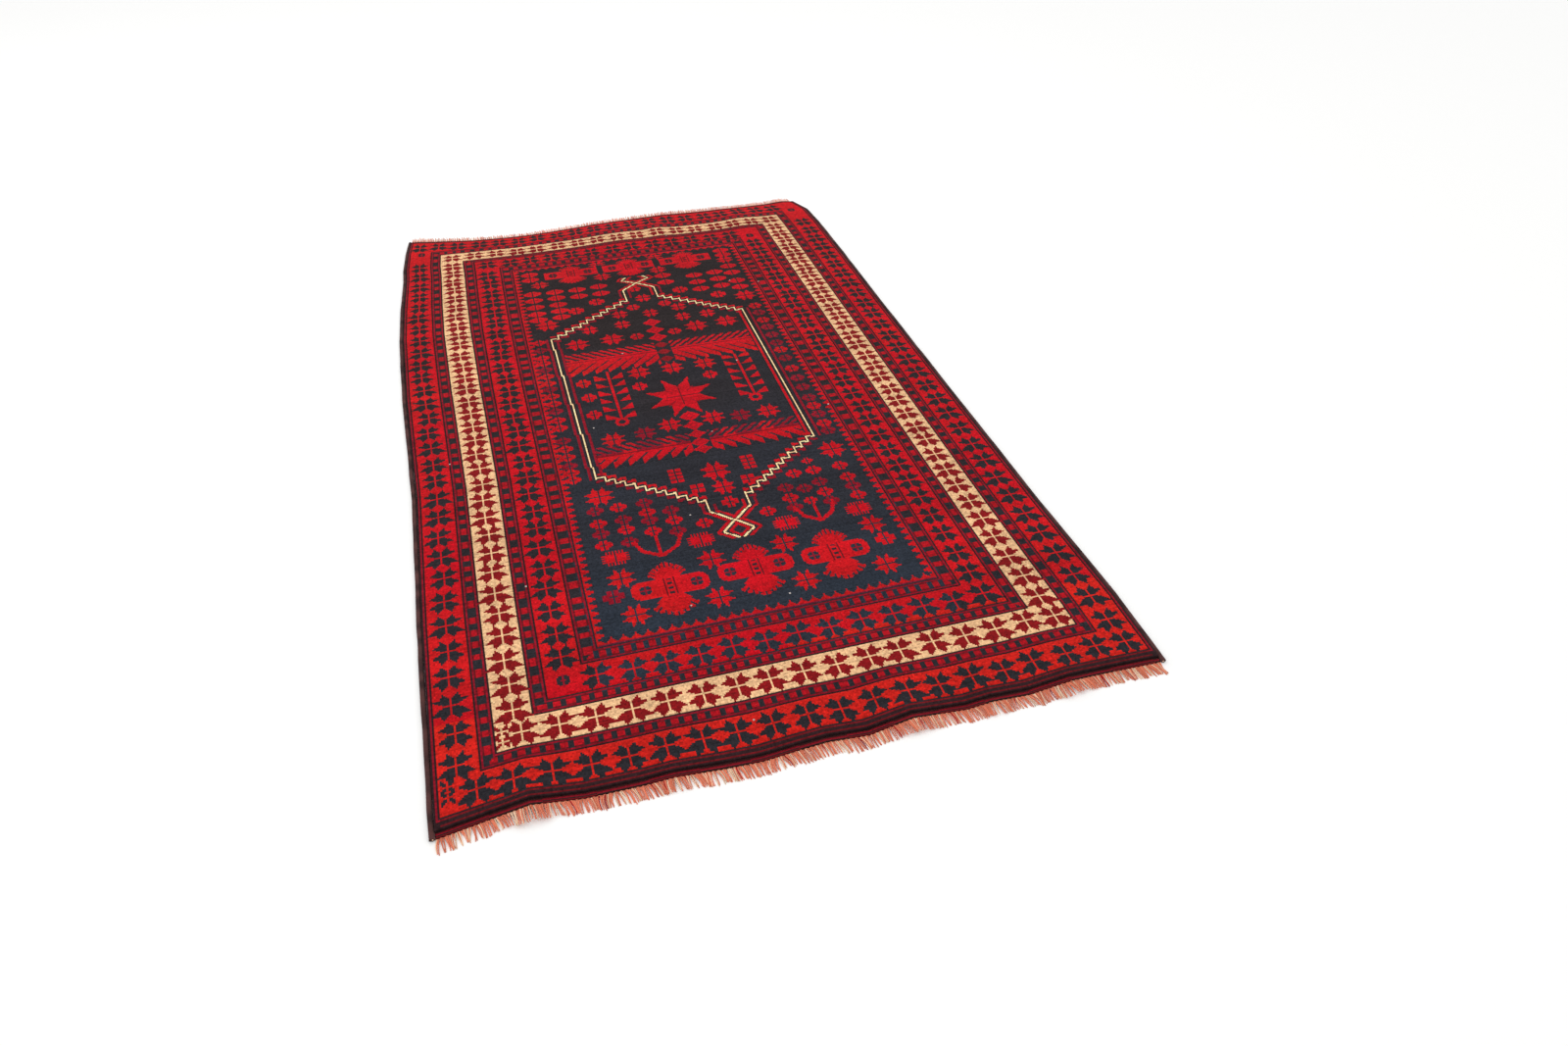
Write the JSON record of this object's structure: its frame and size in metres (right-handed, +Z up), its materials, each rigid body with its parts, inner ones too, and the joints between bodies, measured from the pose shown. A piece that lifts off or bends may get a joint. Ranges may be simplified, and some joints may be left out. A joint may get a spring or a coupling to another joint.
{
  "type": "area rug",
  "caption": "Hand-knotted wool area rug, rectangular, with a star border on a cream band, a hexagon medallion on a dark field, overcast sides and fringed ends; lies flat on a floor.",
  "frame": {"origin": "centre of the underside, fringes included, on the floor that the rug lies on", "axes": "+Z up out of the pile, +Y along the length towards the end with the short fringe, +X across the width to the right of someone who stands at the long-fringe end and looks along +Y"},
  "size_m": [1.25, 2.187, 0.0086],
  "materials": {
    "red_pile": "matt wool",
    "guard_pile": "matt wool",
    "cream_pile": "matt wool",
    "navy_pile": "matt wool",
    "overcast_wool": "matt wool",
    "kilim_wool": "matt wool",
    "warp_yarn": "matt wool"
  },
  "bodies": {
    "root": {"foundation_weave": "warp_yarn", "edge_stripe_pile": "guard_pile", "outer_border_pile": "red_pile", "outer_guard_pile": "guard_pile", "main_border_pile": "cream_pile", "middle_guard_pile": "guard_pile", "inner_border_pile": "red_pile", "inner_guard_pile": "guard_pile", "sawtooth_edging_pile": "red_pile", "field_pile": "navy_pile", "medallion_outline_pile": "cream_pile", "medallion_ground_pile": "navy_pile", "central_star_pile": "red_pile", "far_feather_bar_pile": "red_pile", "near_feather_bar_pile": "red_pile", "left_selvedge_overcast": "overcast_wool", "left_selvedge_core": "warp_yarn", "right_selvedge_overcast": "overcast_wool", "right_selvedge_core": "warp_yarn", "near_end_kilim": "kilim_wool", "far_end_kilim": "kilim_wool", "near_end_twining": "overcast_wool", "far_end_twining": "overcast_wool", "near_fringe": "warp_yarn", "far_fringe": "warp_yarn"}
  },
  "joints": []
}
